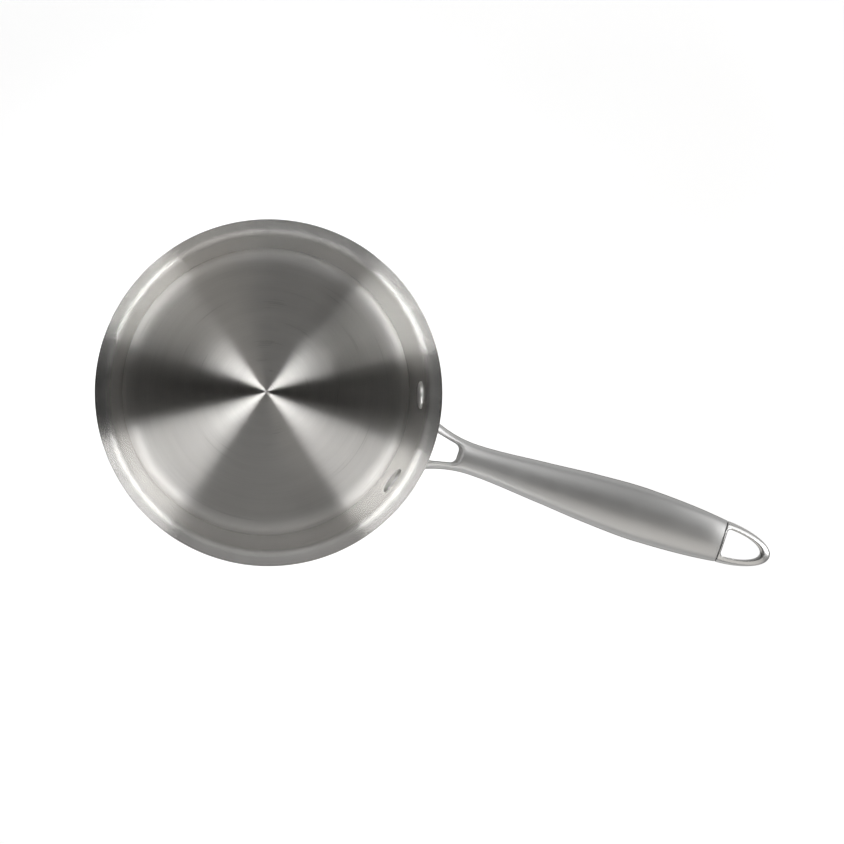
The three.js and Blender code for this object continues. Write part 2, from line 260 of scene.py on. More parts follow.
class Sketch:
    """Short hand for adding and linking shader nodes in one tree."""

    def __init__(self, tree: bpy.types.NodeTree) -> None:
        """Clears the tree and keeps it."""
        self.tree = tree
        tree.nodes.clear()

    def add(self, kind: str, inputs: dict[Any, Any] | None = None, **settings: Any) -> bpy.types.Node:
        """Adds a node.

        Args:
            kind: Node type without its ShaderNode prefix.
            inputs: Value or linked socket for each named or numbered input.
            settings: Properties of the node itself.

        Returns:
            The new node.
        """
        node = self.tree.nodes.new("ShaderNode" + kind)
        for key, value in settings.items():
            setattr(node, key, value)
        for key, value in (inputs or {}).items():
            if isinstance(value, Socket):
                self.tree.links.new(value, node.inputs[key])
            else:
                node.inputs[key].default_value = value
        return node

    def math(self, operation: str, *values: Any) -> Socket:
        """Result of a math node on two or three values."""
        return self.add("Math", dict(enumerate(values)), operation=operation).outputs[0]

    def vector(self, operation: str, *values: Any) -> bpy.types.Node:
        """Vector math node on one or two values."""
        return self.add("VectorMath", dict(enumerate(values)), operation=operation)

    def ramp(self, value: Socket, low: float, high: float, start: float, end: float) -> Any:
        """Smooth step of a value, from start where it is low to end where it is high."""
        names = {"Value": value, "From Min": low, "From Max": high, "To Min": start, "To Max": end}
        return self.add("MapRange", names, interpolation_type="SMOOTHSTEP").outputs["Result"]

    def tint(self, amount: Socket, first: Color, second: Color) -> Socket:
        """Colour between two others, the first one where the amount is 0."""
        colors = {0: amount, MIX_FIRST: (*first, 1), MIX_SECOND: (*second, 1)}
        return self.add("Mix", colors, data_type="RGBA").outputs[MIX_RESULT]


# Finishes


def shade(color: Color, part: float) -> Color:
    """A darker or lighter version of a colour."""
    return (color[0] * part, color[1] * part, color[2] * part)


def worn(
    sketch: Sketch, broad: Any, fine: Any, color: Color, change: float, roughness: float
) -> tuple[Any, Any]:
    """Colour and roughness of a metal with broad and fine marks of wear.

    Args:
        sketch: Tree to add to.
        broad: Broad marks, from 0 to 1.
        fine: Fine marks, from 0 to 1.
        color: Middle colour.
        change: Share by which the colour darkens and lightens.
        roughness: Middle roughness.

    Returns:
        The colour socket and the roughness socket.
    """
    broad_share = 0.6
    least_wear = 0.3
    most_wear = 0.7
    gloss_change = 0.03
    wear = sketch.math("MULTIPLY_ADD", broad, broad_share, sketch.math("MULTIPLY", fine, 1 - broad_share))
    tone = sketch.tint(wear, shade(color, 1 - change), shade(color, 1 + change))
    gloss = sketch.ramp(wear, least_wear, most_wear, roughness - gloss_change, roughness + gloss_change)
    return tone, gloss


@dataclass(frozen=True)
class RingBrushedSteel:
    """Steel brushed in rings about the pan's axis.

    The grooves throw light in a wide fan across the brush lines, less wide on the wall, and the worn
    tops between them in a narrow one. Pitches and the depth are in millimetres, wall heights in metres.
    """

    name: str
    color: Color
    roughness: float
    anisotropy: float
    groove_share: float = 0.0
    groove_roughness: float = 0.323
    wall_roughness: float = 0.26
    wall_heights: Pair = (0.004, 0.010)
    groove_anisotropy: float = 0.80
    line_pitch: float = 0.6
    line_drift: float = 1.2
    line_detail: float = 4.0
    line_depth: float = 0.005
    line_strength: float = 0.35
    band_pitch: float = 5.4
    band_drift: float = 1.1
    band_detail: float = 2.0
    wear: float = 0.13

    def material(self) -> bpy.types.Material:
        """Makes the material with its brush lines and faint worn rings.

        Returns:
            The new material.
        """
        steel = bpy.data.materials.new(self.name)
        steel.use_nodes = True
        sketch = Sketch(steel.node_tree)
        place = sketch.add("TexCoord").outputs["Object"]
        flat = sketch.vector("MULTIPLY", place, (1, 1, 0)).outputs[0]
        radius = sketch.vector("LENGTH", flat).outputs["Value"]
        height = sketch.vector("DOT_PRODUCT", place, (0, 0, 1)).outputs["Value"]
        along = sketch.math("ADD", radius, height)
        heading = sketch.vector("NORMALIZE", flat).outputs[0]
        lines = self.rings(sketch, along, heading, self.line_pitch, self.line_drift, self.line_detail)
        bands = self.rings(sketch, along, heading, self.band_pitch, self.band_drift, self.band_detail)
        tone, gloss = worn(sketch, bands, lines, self.color, self.wear, self.roughness)
        depth = {"Height": lines, "Strength": self.line_strength, "Distance": self.line_depth * MM}
        bump = sketch.add("Bump", depth).outputs[0]
        tangent = sketch.add("Tangent", direction_type="RADIAL", axis="Z").outputs[0]
        surface = sketch.add("BsdfPrincipled", {
            "Base Color": tone,
            "Metallic": 1.0,
            "Roughness": gloss,
            "Normal": bump,
            "Anisotropic": self.anisotropy,
            "Anisotropic Rotation": QUARTER_TURN,
            "Tangent": tangent,
        }).outputs[0]
        if self.groove_share > 0:
            fan = sketch.ramp(height, *self.wall_heights, self.groove_roughness, self.wall_roughness)
            grooves = sketch.add("BsdfAnisotropic", {
                "Color": tone,
                "Roughness": fan,
                "Anisotropy": self.groove_anisotropy,
                "Normal": bump,
                "Tangent": tangent,
            }, distribution="MULTI_GGX").outputs[0]
            surface = sketch.add("MixShader", {0: self.groove_share, 1: surface, 2: grooves}).outputs[0]
        sketch.add("OutputMaterial", {"Surface": surface})
        return steel

    @staticmethod
    def rings(sketch: Sketch, along: Any, heading: Any, pitch: float, drift: float, detail: float) -> Any:
        """Noise that is drawn out round the axis.

        Args:
            sketch: Tree to add to.
            along: Distance along the pan's section, in metres.
            heading: Direction from the axis.
            pitch: Usual distance between two lines, in millimetres.
            drift: How fast a line changes on its way round.
            detail: Octaves of the noise.

        Returns:
            The noise socket, from 0 to 1.
        """
        turn = sketch.add("SeparateXYZ", {0: heading})
        spread = sketch.math("MULTIPLY", along, 1 / (pitch * MM))
        across = sketch.math("MULTIPLY", turn.outputs[0], drift)
        upright = sketch.math("MULTIPLY", turn.outputs[1], drift)
        spot = sketch.add("CombineXYZ", {0: spread, 1: across, 2: upright}).outputs[0]
        return sketch.add("TexNoise", {"Vector": spot, "Scale": 1.0, "Detail": detail}).outputs[0]


@dataclass(frozen=True)
class GrainedMetal:
    """Metal with an even fine grain: satin blasted, polished or cut.

    The edge is the share of its mirror light that is left at a glancing angle. The grain's size and
    depth are in millimetres, and a cloud of wear is many grains wide.
    """

    name: str
    color: Color
    roughness: float
    edge: float = 1.0
    grain_size: float = 0.4
    grain_detail: float = 2.0
    grain_depth: float = 0.004
    grain_strength: float = 0.4
    cloud_grains: float = 30.0
    cloud_detail: float = 3.0
    wear: float = 0.06

    def material(self) -> bpy.types.Material:
        """Makes the material with its grain and soft cloudy wear.

        Returns:
            The new material.
        """
        metal = bpy.data.materials.new(self.name)
        metal.use_nodes = True
        sketch = Sketch(metal.node_tree)
        place = sketch.add("TexCoord").outputs["Object"]
        grain_scale = 1 / (self.grain_size * MM)
        fine = {"Vector": place, "Scale": grain_scale, "Detail": self.grain_detail}
        broad = {"Vector": place, "Scale": grain_scale / self.cloud_grains, "Detail": self.cloud_detail}
        grain = sketch.add("TexNoise", fine).outputs[0]
        cloud = sketch.add("TexNoise", broad).outputs[0]
        tone, gloss = worn(sketch, cloud, grain, self.color, self.wear, self.roughness)
        depth = {"Height": grain, "Strength": self.grain_strength, "Distance": self.grain_depth * MM}
        bump = sketch.add("Bump", depth).outputs[0]
        surface = sketch.add("BsdfPrincipled", {
            "Base Color": tone,
            "Metallic": 1.0,
            "Roughness": gloss,
            "Specular Tint": (self.edge, self.edge, self.edge, 1),
            "Normal": bump,
        }).outputs[0]
        sketch.add("OutputMaterial", {"Surface": surface})
        return metal


COOKING_STEEL = RingBrushedSteel("cooking_steel_brushed", (0.64, 0.628, 0.608), 0.30, 1.0, groove_share=0.9)
OUTER_STEEL = RingBrushedSteel("outer_steel_brushed", (0.62, 0.615, 0.605), 0.30, 0.7)
CUT_ALUMINIUM = GrainedMetal("core_aluminium_cut", (0.74, 0.75, 0.76), 0.45, grain_size=0.2)
SATIN_STEEL = GrainedMetal("handle_steel_satin", (0.60, 0.597, 0.59), 0.42, edge=0.3)
LOOP_STEEL = GrainedMetal("loop_steel_polished", (0.66, 0.655, 0.645), 0.24, edge=0.4, grain_depth=0.002)
RIVET_STEEL = GrainedMetal("rivet_steel_polished", (0.70, 0.695, 0.685), 0.34, grain_depth=0.0005)


def dress(piece: bpy.types.Object, finish: RingBrushedSteel | GrainedMetal, slot: str, *nodes: str) -> None:
    """Gives a piece its finish and seats it in the frame.

    Args:
        piece: The object to dress.
        finish: Its finish.
        slot: The record's material slot. Not used.
        nodes: CAD nodes that the piece stands for.
    """
    piece.data.materials.append(finish.material())
    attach(piece, BODY)
    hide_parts(*nodes)
    log.info("%s: %d points, replaces %s", piece.name, len(piece.data.vertices), ", ".join(nodes))


# Pan


class Layer(Enum):
    """Sheets of the clad wall, from the food outward."""

    LINER = "cooking_liner"
    CORE = "aluminium_core"
    SHELL = "outer_shell"


@dataclass
class PanBody:
    """The clad pan with its flared lip."""

    inner_radius: float = 80.0
    cavity_depth: float = 80.0
    corner_radius: float = 13.5
    corner_fullness: float = 3.0
    wall_draft: float = math.radians(1.45)
    liner_thickness: float = 0.5
    core_thickness: float = 1.6
    shell_thickness: float = 0.5
    bond_gap: float = 0.05
    flare_radius: float = 6.5
    flare_lean: float = math.radians(72)
    rim_radius: float = 88.46
    rivet_drop: float = 21.0
    edge_round: float = 0.18
    floor_points: int = 9
    corner_points: int = 33
    wall_points: int = 26
    flare_points: int = 17
    lip_points: int = 5
    segments: int = 256
    clad: float = field(init=False)
    rim_height: float = field(init=False)
    neck_height: float = field(init=False)
    floor_radius: float = field(init=False)
    rivet_height: float = field(init=False)
    wall_at_rivet: float = field(init=False)
    outside_at_rivet: float = field(init=False)

    def __post_init__(self) -> None:
        """Works out the sizes that follow from the others."""
        self.clad = self.liner_thickness + self.core_thickness + self.shell_thickness + 2 * self.bond_gap
        bend = self.flare_radius * (math.sin(self.flare_lean) - math.sin(self.wall_draft))
        flare = self.flare_radius * (math.cos(self.wall_draft) - math.cos(self.flare_lean))
        lip_height = bend + (self.rim_radius - self.inner_radius - flare) / math.tan(self.flare_lean)
        wall_height = self.cavity_depth - self.corner_radius * (1 - math.sin(self.wall_draft)) - lip_height
        self.rim_height = self.clad + self.cavity_depth
        self.neck_height = self.rim_height - lip_height
        taper = wall_height * math.tan(self.wall_draft)
        self.floor_radius = self.inner_radius - taper - self.corner_radius * math.cos(self.wall_draft)
        self.rivet_height = self.rim_height - self.rivet_drop
        drop = self.neck_height - self.rivet_height
        self.wall_at_rivet = self.inner_radius - drop * math.tan(self.wall_draft)
        self.outside_at_rivet = self.wall_at_rivet + self.clad / math.cos(self.wall_draft)

    def wall_curve(self, offset: float) -> Array:
        """Section of the cooking surface from the axis to the lip, moved outward.

        Args:
            offset: Distance from the cooking surface.

        Returns:
            Rows of (radius, height).
        """
        floor_rings = np.linspace(0, self.floor_radius, self.floor_points)[:-1]
        floor = np.column_stack((floor_rings, np.full(len(floor_rings), self.clad - offset)))
        angles = np.linspace(math.pi / 2, self.wall_draft, self.corner_points)
        power = 2 / self.corner_fullness
        reach = self.corner_radius + offset
        corner = np.column_stack((
            self.floor_radius + reach * np.cos(angles) ** power,
            self.clad + self.corner_radius - reach * np.sin(angles) ** power,
        ))
        angles = np.linspace(math.pi - self.wall_draft, math.pi - self.flare_lean, self.flare_points)
        radius = self.flare_radius - offset
        bend_middle = (
            self.inner_radius + self.flare_radius * math.cos(self.wall_draft),
            self.neck_height - self.flare_radius * math.sin(self.wall_draft),
        )
        bend = np.column_stack((
            bend_middle[0] + radius * np.cos(angles),
            bend_middle[1] + radius * np.sin(angles),
        ))
        wall = np.linspace(corner[-1], bend[0], self.wall_points)[1:-1]
        out = np.array((math.sin(self.flare_lean), math.cos(self.flare_lean)))
        reach = (self.rim_radius - bend[-1][0]) / out[0]
        lip = bend[-1] + np.outer(np.linspace(0, reach, self.lip_points)[1:], out)
        return np.vstack((floor, corner, wall, bend, lip))

    def rounded_edge(self, inner: Array, outer: Array, radius: float) -> Array:
        """Upright cut edge of a sheet between its two faces, with rounded corners.

        Args:
            inner: Last point of the face on the food side.
            outer: Last point of the other face.
            radius: Radius of both corners.

        Returns:
            Rows of (radius, height) from the outer face to the inner one.
        """
        out = np.array((math.sin(self.flare_lean), math.cos(self.flare_lean)))
        across = (inner - outer) / np.linalg.norm(inner - outer)
        low = eased(outer - out * radius, outer, outer + across * radius)
        high = eased(inner - across * radius, inner, inner - out * radius)
        return np.vstack((low, high))

    def sheet(self, layer: Layer) -> bpy.types.Object:
        """Makes one sheet of the clad wall.

        Args:
            layer: Which sheet.

        Returns:
            The new object.
        """
        core_inside = self.liner_thickness + self.bond_gap
        shell_inside = core_inside + self.core_thickness + self.bond_gap
        inside, thickness = {
            Layer.LINER: (0.0, self.liner_thickness),
            Layer.CORE: (core_inside, self.core_thickness),
            Layer.SHELL: (shell_inside, self.shell_thickness),
        }[layer]
        inner = self.wall_curve(inside)
        outer = self.wall_curve(inside + thickness)
        edge = self.rounded_edge(inner[-1], outer[-1], self.edge_round)
        profile = np.vstack((outer[:-1], edge, inner[-2::-1]))
        points, faces = lathe(profile, self.segments)
        return mesh_piece("pan_" + layer.name.lower(), points, faces)

    def build(self) -> None:
        """Makes and dresses the three sheets."""
        dress(self.sheet(Layer.LINER), COOKING_STEEL, "cooking_steel", Layer.LINER.value)
        dress(self.sheet(Layer.CORE), CUT_ALUMINIUM, "core_aluminium", Layer.CORE.value)
        dress(self.sheet(Layer.SHELL), OUTER_STEEL, "outer_steel", Layer.SHELL.value)


# Handle


@dataclass
class Handle:
    """Forked bracket and hollow oval grip, welded and ground to one skin."""

    pan: PanBody
    rivet_angle: float = math.radians(17.3)
    seat_gap: float = 0.2
    foot_thickness: float = 3.0
    foot_height: float = 20.0
    foot_edge: float = 0.7
    foot_fillet: float = 3.0
    gap_at_wall: float = 20.0
    gap_at_crotch: float = 8.9
    crotch_reach: float = 15.2
    crotch_corner: float = 2.6
    crotch_edge: float = 2.6
    prong_edge: float = 1.0
    root_width: float = 26.4
    root_height: float = 16.2
    root_reach: float = 2.4
    root_fullness: float = 4.2
    reaches: tuple[float, ...] = (23.1, 60.9, 86.8, 116.0, 158.2)
    widths: tuple[float, ...] = (16.4, 21.6, 26.1, 28.4, 22.3)
    thicknesses: tuple[float, ...] = (12.5, 14.6, 16.8, 17.8, 12.6)
    shoulder_drop: float = 1.2
    shoulder_length: float = 8.0
    fullness: float = 2.3
    grip_wall: float = 1.2
    end_edge: float = 0.35
    pocket_depth: float = 11.0
    root_slope: float = math.tan(math.radians(7.5))
    end_slope: float = math.tan(math.radians(4.8))
    loop_reach: float = 26.9
    foot_start: float = 73.0
    seat_part: float = 1 / 3
    crotch_growth: int = 3
    fork_step: float = 0.45
    grip_step: float = 1.0
    end_step: float = 0.25
    end_zone: float = 2.5
    end_margin: float = 1.5
    grid_half: float = 37.0
    grid_low: float = 50.0
    grid_high: float = 90.0
    grid_step: float = 0.5
    foot_radius: float = field(init=False)
    neck: float = field(init=False)
    end: float = field(init=False)
    crotch: float = field(init=False)
    gap_taper: float = field(init=False)

    def __post_init__(self) -> None:
        """Works out the places that follow from the sizes."""
        self.foot_radius = self.pan.outside_at_rivet + self.seat_gap + self.foot_thickness
        self.neck = self.pan.rim_radius + self.reaches[0]
        self.end = self.pan.rim_radius + self.reaches[-1]
        self.crotch = self.pan.rim_radius + self.crotch_reach
        gap_length = self.crotch - self.pan.wall_at_rivet
        self.gap_taper = (self.gap_at_wall - self.gap_at_crotch) / 2 / gap_length

    def line(self, x: Array) -> tuple[Array, Array]:
        """Height and slope angle of the handle's middle line.

        Args:
            x: Distance from the pan's axis.

        Returns:
            Heights and angles.
        """
        along = x - self.foot_radius
        bend = (self.root_slope - self.end_slope) / (self.end + self.loop_reach - self.foot_radius)
        height = self.pan.rivet_height + along * self.root_slope - bend * along * along / 2
        return height, np.arctan(self.root_slope - bend * along)

    def along(self, values: tuple[float, ...], x: Array) -> Array:
        """Smooth value through the grip's stations, level at the neck.

        Args:
            values: One value for each station.
            x: Distance from the pan's axis.

        Returns:
            The value at each distance.
        """
        places = self.pan.rim_radius + np.array(self.reaches)
        heights = np.array(values)
        steep = np.zeros(len(heights))
        steep[1:-1] = (heights[2:] - heights[:-2]) / (places[2:] - places[:-2])
        steep[-1] = 2 * (heights[-1] - heights[-2]) / (places[-1] - places[-2])
        i = np.clip(np.searchsorted(places, x) - 1, 0, len(places) - 2)
        span = places[i + 1] - places[i]
        t = np.clip((x - places[i]) / span, 0, 1)
        start = (1 + 2 * t) * (1 - t) ** 2 * heights[i] + t * (1 - t) ** 2 * span * steep[i]
        stop = t * t * (3 - 2 * t) * heights[i + 1] + t * t * (t - 1) * span * steep[i + 1]
        return start + stop

    def section_place(self, x: Array, z: Array) -> tuple[Array, Array]:
        """Where a point lies on the handle: distance of its section and height above the middle line.

        Args:
            x: Distance from the pan's axis.
            z: Height in the frame.

        Returns:
            Distance of the section's middle, and height square to the line.
        """
        station = x + 0 * z
        for _ in range(PLACE_ROUNDS):
            height, angle = self.line(station)
            rise = (z - height) / np.cos(angle)
            station = x + rise * np.sin(angle)
        return station, rise

    def oval(self, x: Array, y: Array, z: Array, inset: float = 0.0) -> Array:
        """Field of the long oval body, from the prong roots to past the grip's end.

        Args:
            x: Places along X.
            y: Places along Y.
            z: Places along Z.
            inset: How much smaller the oval is all round.

        Returns:
            The field, negative inside.
        """
        station, rise = self.section_place(x, z)
        fork = np.maximum(self.neck - station, 0) / (self.neck - self.foot_radius - self.root_reach)
        width = self.along(self.widths, station) + (self.root_width - self.widths[0]) * fork ** 2
        taller = (self.root_height - self.thicknesses[0]) * fork ** 2
        thickness = self.along(self.thicknesses, station) + taller
        shoulder = np.maximum(station - self.end + self.shoulder_length, 0) / self.shoulder_length
        thickness = thickness - self.shoulder_drop * shoulder ** 2
        power = self.fullness + (self.root_fullness - self.fullness) * np.minimum(fork, 1) ** 2
        across = np.abs(y) / (width / 2 - inset)
        upright = np.abs(rise) / (thickness / 2 - inset)
        return (across ** power + upright ** power) ** (1 / power) - 1

    def gap(self, x: Array, y: Array) -> Array:
        """Field of the space between the prongs, in plan."""
        side = np.abs(y) - self.gap_at_crotch / 2 - self.gap_taper * (self.crotch - x)
        return common(side / math.hypot(1, self.gap_taper), x - self.crotch, self.crotch_corner)

    def foot(self, x: Array, y: Array, z: Array) -> Array:
        """Field of the two riveted pads that follow the wall.

        Args:
            x: Places along X.
            y: Places along Y.
            z: Places along Z.

        Returns:
            The field, negative inside.
        """
        pan = self.pan
        lean = (z - pan.rivet_height) * math.tan(pan.wall_draft)
        middle = self.foot_radius - self.foot_thickness / 2 + lean
        plate = np.abs(np.hypot(x, y) - middle) - self.foot_thickness / 2
        reach = self.foot_radius * math.sin(self.rivet_angle)
        outward = np.maximum(np.abs(y) - reach, 0)
        outline = np.hypot(outward, z - pan.rivet_height) - self.foot_height / 2
        inner_end = self.gap_at_wall / 2 - np.abs(y)
        pad = common(plate, common(outline, inner_end, self.prong_edge), self.foot_edge)
        return np.maximum(pad, -x)

    def form(self, x: Array, y: Array, z: Array) -> Array:
        """Field of the whole handle without its loop.

        Args:
            x: Places along X.
            y: Places along Y.
            z: Places along Z.

        Returns:
            The field, negative inside.
        """
        pan = self.pan
        station, _ = self.section_place(x, z)
        body = as_distance(self.oval)(x, y, z)
        near = np.clip((x - pan.rim_radius) / self.crotch_reach, 0, 1)
        edge = self.prong_edge + (self.crotch_edge - self.prong_edge) * near ** self.crotch_growth
        fork = common(body, -self.gap(x, y), edge)
        handle = joined(fork, self.foot(x, y, z), self.foot_fillet)
        lean = (z - pan.rivet_height) * math.tan(pan.wall_draft)
        wall = pan.outside_at_rivet + self.seat_gap + lean - np.hypot(x, y)
        seated = common(handle, wall, self.foot_edge * self.seat_part)
        bore = as_distance(lambda a, b, c: self.oval(a, b, c, self.grip_wall))(x, y, z)
        pocket = np.maximum(bore, self.end - self.pocket_depth - station)
        closed = common(seated, station - self.end, self.end_edge)
        return common(closed, -pocket, self.end_edge)

    def build(self) -> None:
        """Makes and dresses the handle."""
        end_start = self.end - self.end_zone
        fork_places = np.arange(self.foot_start, self.neck, self.fork_step)
        grip_places = np.arange(self.neck, end_start, self.grip_step)
        end_places = np.arange(end_start, self.end + self.end_margin, self.end_step)
        xs = np.concatenate((fork_places, grip_places, end_places))
        ys = spaced(-self.grid_half, self.grid_half, self.grid_step)
        zs = spaced(self.grid_low, self.grid_high, self.grid_step)
        points, faces = skin(self.form, xs, ys, zs)
        piece = mesh_piece("handle_skin", points, faces, SKIN_CREASE)
        nodes = ("handle_bracket", "grip_upper_half", "grip_lower_half")
        dress(piece, SATIN_STEEL, "handle_steel", *nodes)


@dataclass
class HangingLoop:
    """Polished loop behind the grip, with the tang that holds it."""

    handle: Handle
    length: float = 26.35
    width: float = 22.3
    thickness: float = 11.4
    tip_thickness: float = 4.4
    outline_power: float = 1.62
    tip_power: float = 2.15
    fullness: float = 2.3
    seam: float = 0.3
    cap: float = 1.0
    hole_length: float = 20.0
    hole_width: float = 14.5
    hole_corner: float = 1.8
    hole_edge: float = 0.9
    start_edge: float = 0.25
    tang_length: float = 10.0
    tang_inset: float = 1.5
    tang_step: float = 0.8
    loop_step: float = 0.35
    end_margin: float = 1.0
    grid_side: float = 11.9
    grid_height: float = 7.7

    def outside(self, x: Array, y: Array, z: Array) -> Array:
        """Field of the loop without its hole, laid along its own X.

        Args:
            x: Places along X.
            y: Places along Y.
            z: Places along Z.

        Returns:
            The field, negative inside.
        """
        t = np.maximum(x, 0) / self.length
        plan = (2 * np.abs(y) / self.width) ** self.tip_power + t ** self.outline_power
        thickness = self.thickness + (self.tip_thickness - self.thickness) * np.minimum(t, 1)
        upright = 2 * np.abs(z) / thickness
        return plan ** (self.fullness / self.tip_power) + upright ** self.fullness - 1

    def hole(self, x: Array, y: Array) -> Array:
        """Field of the D-shaped hole, in plan."""
        stretch = np.hypot((x - self.cap) * self.hole_width / 2 / self.hole_length, y)
        return common(stretch - self.hole_width / 2, self.cap - x, self.hole_corner)

    def tang(self, x: Array, y: Array, z: Array) -> Array:
        """Field of the tang inside the grip.

        Args:
            x: Places along X.
            y: Places along Y.
            z: Places along Z.

        Returns:
            The field, negative inside.
        """
        across = np.abs(y) / (self.width / 2 - self.tang_inset)
        upright = np.abs(z) / (self.thickness / 2 - self.tang_inset)
        section = across ** self.fullness + upright ** self.fullness - 1
        middle = (self.cap / 2 - self.tang_length) / 2
        ends = np.abs(x - middle) - (self.cap / 2 + self.tang_length) / 2
        millimetres = self.thickness / 4
        return np.maximum(section * millimetres, ends)

    def form(self, x: Array, y: Array, z: Array) -> Array:
        """Field of the whole loop."""
        body = common(as_distance(self.outside)(x, y, z), -x, self.start_edge)
        return np.minimum(common(body, -self.hole(x, y), self.hole_edge), self.tang(x, y, z))

    def build(self) -> None:
        """Makes the loop, turns it to the handle's slope and dresses it."""
        tang_places = np.arange(-self.tang_length - self.end_margin, -self.tang_step, self.tang_step)
        loop_places = np.arange(-2 * self.loop_step, self.length + self.end_margin, self.loop_step)
        xs = np.concatenate((tang_places, loop_places))
        ys = spaced(-self.grid_side, self.grid_side, self.loop_step)
        zs = spaced(-self.grid_height, self.grid_height, self.loop_step)
        points, faces = skin(self.form, xs, ys, zs)
        height, angle = self.handle.line(np.array(self.handle.end))
        turn = np.array(Matrix.Rotation(-float(angle), 3, "Y"))
        seat = np.array((self.handle.end, 0, float(height)))
        placed = (points + np.array((self.seam, 0, 0))) @ turn.T + seat
        piece = mesh_piece("loop_skin", placed, faces, SKIN_CREASE)
        dress(piece, LOOP_STEEL, "loop_steel", "hanging_loop")


@dataclass
class Rivet:
    """Domed rivet through the wall and one foot of the bracket."""

    pan: PanBody
    handle: Handle
    side: int
    node: str
    head_diameter: float = 14.3
    head_height: float = 2.3
    head_edge: float = 0.5
    shank_diameter: float = 6.0
    tail_diameter: float = 10.0
    tail_height: float = 1.8
    dome_points: int = 13
    segments: int = 64

    def dome(self, radius: float, height: float) -> Array:
        """Half section of a domed button, from its crown to its foot.

        Args:
            radius: Radius of the button.
            height: Height of its crown above its seat.

        Returns:
            Rows of (radius, height above the seat).
        """
        angles = np.linspace(0, math.pi / 2, self.dome_points)
        rise = self.head_edge + (height - self.head_edge) * np.cos(angles)
        curve = np.column_stack((radius * np.sin(angles), rise))
        return np.vstack((curve, [(radius, 0.0)]))

    def build(self) -> None:
        """Makes the rivet on its line, bent to the wall, and dresses it."""
        pan = self.pan
        head = self.dome(self.head_diameter / 2, self.head_height)
        tail = self.dome(self.tail_diameter / 2, self.tail_height)[::-1]
        head_rows = np.column_stack((head[:, 0], pan.wall_at_rivet - head[:, 1]))
        tail_rows = np.column_stack((tail[:, 0], self.handle.foot_radius + tail[:, 1]))
        shank = self.shank_diameter / 2
        shank_rows = np.array([(shank, pan.wall_at_rivet), (shank, self.handle.foot_radius)])
        profile = np.vstack((head_rows, shank_rows, tail_rows))
        local, faces = lathe(profile, self.segments)
        across, upright, outward = local.T
        outward = np.sqrt(outward ** 2 - across ** 2) + upright * math.tan(pan.wall_draft)
        azimuth = self.side * self.handle.rivet_angle
        points = np.column_stack((
            outward * math.cos(azimuth) - across * math.sin(azimuth),
            outward * math.sin(azimuth) + across * math.cos(azimuth),
            upright + pan.rivet_height,
        ))
        piece = mesh_piece("steel_" + self.node, points, faces)
        dress(piece, RIVET_STEEL, "rivet_steel", self.node)


# Studio


@dataclass(frozen=True)
class Viewpoint:
    """Camera a little left of and above the pan's axis, where the photograph was taken.

    The ray of the axis pixel runs along the pan's axis.
    """

    height: float = 1.2727
    aside: Pair = (-0.027, 0.010)
    lens: float = 99.43
    sensor: float = 36.0
    image: int = 844
    roll: float = math.radians(18.2)
    axis_pixel: Pair = (216.5, 373.3)

    def right(self) -> Vector:
        """Direction that points right in the picture."""
        return Vector((math.cos(self.roll), math.sin(self.roll), 0))

    def up(self) -> Vector:
        """Direction that points up in the picture."""
        return Vector((-math.sin(self.roll), math.cos(self.roll), 0))

    def build(self) -> None:
        """Makes the camera and turns it to its axis pixel."""
        base = Matrix((self.right(), self.up(), Vector((0, 0, 1)))).transposed()
        middle = self.image / 2
        focal = self.lens / self.sensor * self.image
        ray = Vector((self.axis_pixel[0] - middle, middle - self.axis_pixel[1], -focal))
        turn = ray.rotation_difference(Vector((0, 0, -1))).to_matrix()
        data = bpy.data.cameras.new("photo_camera")
        data.lens = self.lens
        data.sensor_width = self.sensor
        camera = bpy.data.objects.new("photo_camera", data)
        place = self.right() * self.aside[0] + self.up() * self.aside[1] + Vector((0, 0, self.height))
        camera.matrix_world = Matrix.Translation(place) @ (base @ turn).to_4x4()
        bpy.context.scene.collection.objects.link(camera)
        bpy.context.scene.camera = camera


@dataclass(frozen=True)
class Softbox:
    """Flat soft lamp aimed at a point, with a honeycomb grid where its light is kept narrow.

    The point is given as millimetres right and up in the picture and above the floor, angles are in
    degrees, and the other lengths in metres. The bearing runs from the picture's right towards its top,
    and the tilt from straight up. A mirror on the lamp's axis would show its brightness, where 1 is white.
    """

    name: str
    aim: Point
    bearing: float
    tilt: float
    distance: float
    width: float
    depth: float
    brightness: float
    spread: float = FULL_SPREAD
    color: Color = (1.0, 1.0, 1.0)

    def watts(self) -> float:
        """Works out the power, which a grid gathers into a narrow beam.

        Returns:
            The power in watts that gives the lamp its brightness.
        """
        half = math.radians(self.spread) / 2
        gain = math.tan(half) / (math.tan(half) - half) if self.spread < FULL_SPREAD else 1.0
        return math.pi * self.width * self.depth * self.brightness / gain

    def build(self, view: Viewpoint) -> None:
        """Makes the lamp.

        Args:
            view: Viewpoint whose picture the bearing is measured in.
        """
        target = (view.right() * self.aim[0] + view.up() * self.aim[1] + Vector((0, 0, self.aim[2]))) * MM
        turn = math.radians(self.bearing)
        lean = math.radians(self.tilt)
        flat = view.right() * math.cos(turn) + view.up() * math.sin(turn)
        back = flat * math.sin(lean) + Vector((0, 0, 1)) * math.cos(lean)
        across = Vector((0, 0, 1)).cross(back).normalized()
        pose = Matrix((across, back.cross(across), back)).transposed().to_4x4()
        data = bpy.data.lights.new(self.name, "AREA")
        data.shape = "RECTANGLE"
        data.size = self.width
        data.size_y = self.depth
        data.energy = self.watts()
        data.spread = math.radians(self.spread)
        data.color = self.color
        lamp = bpy.data.objects.new(self.name, data)
        lamp.matrix_world = Matrix.Translation(target + back * self.distance) @ pose
        lamp.visible_camera = False
        bpy.context.scene.collection.objects.link(lamp)


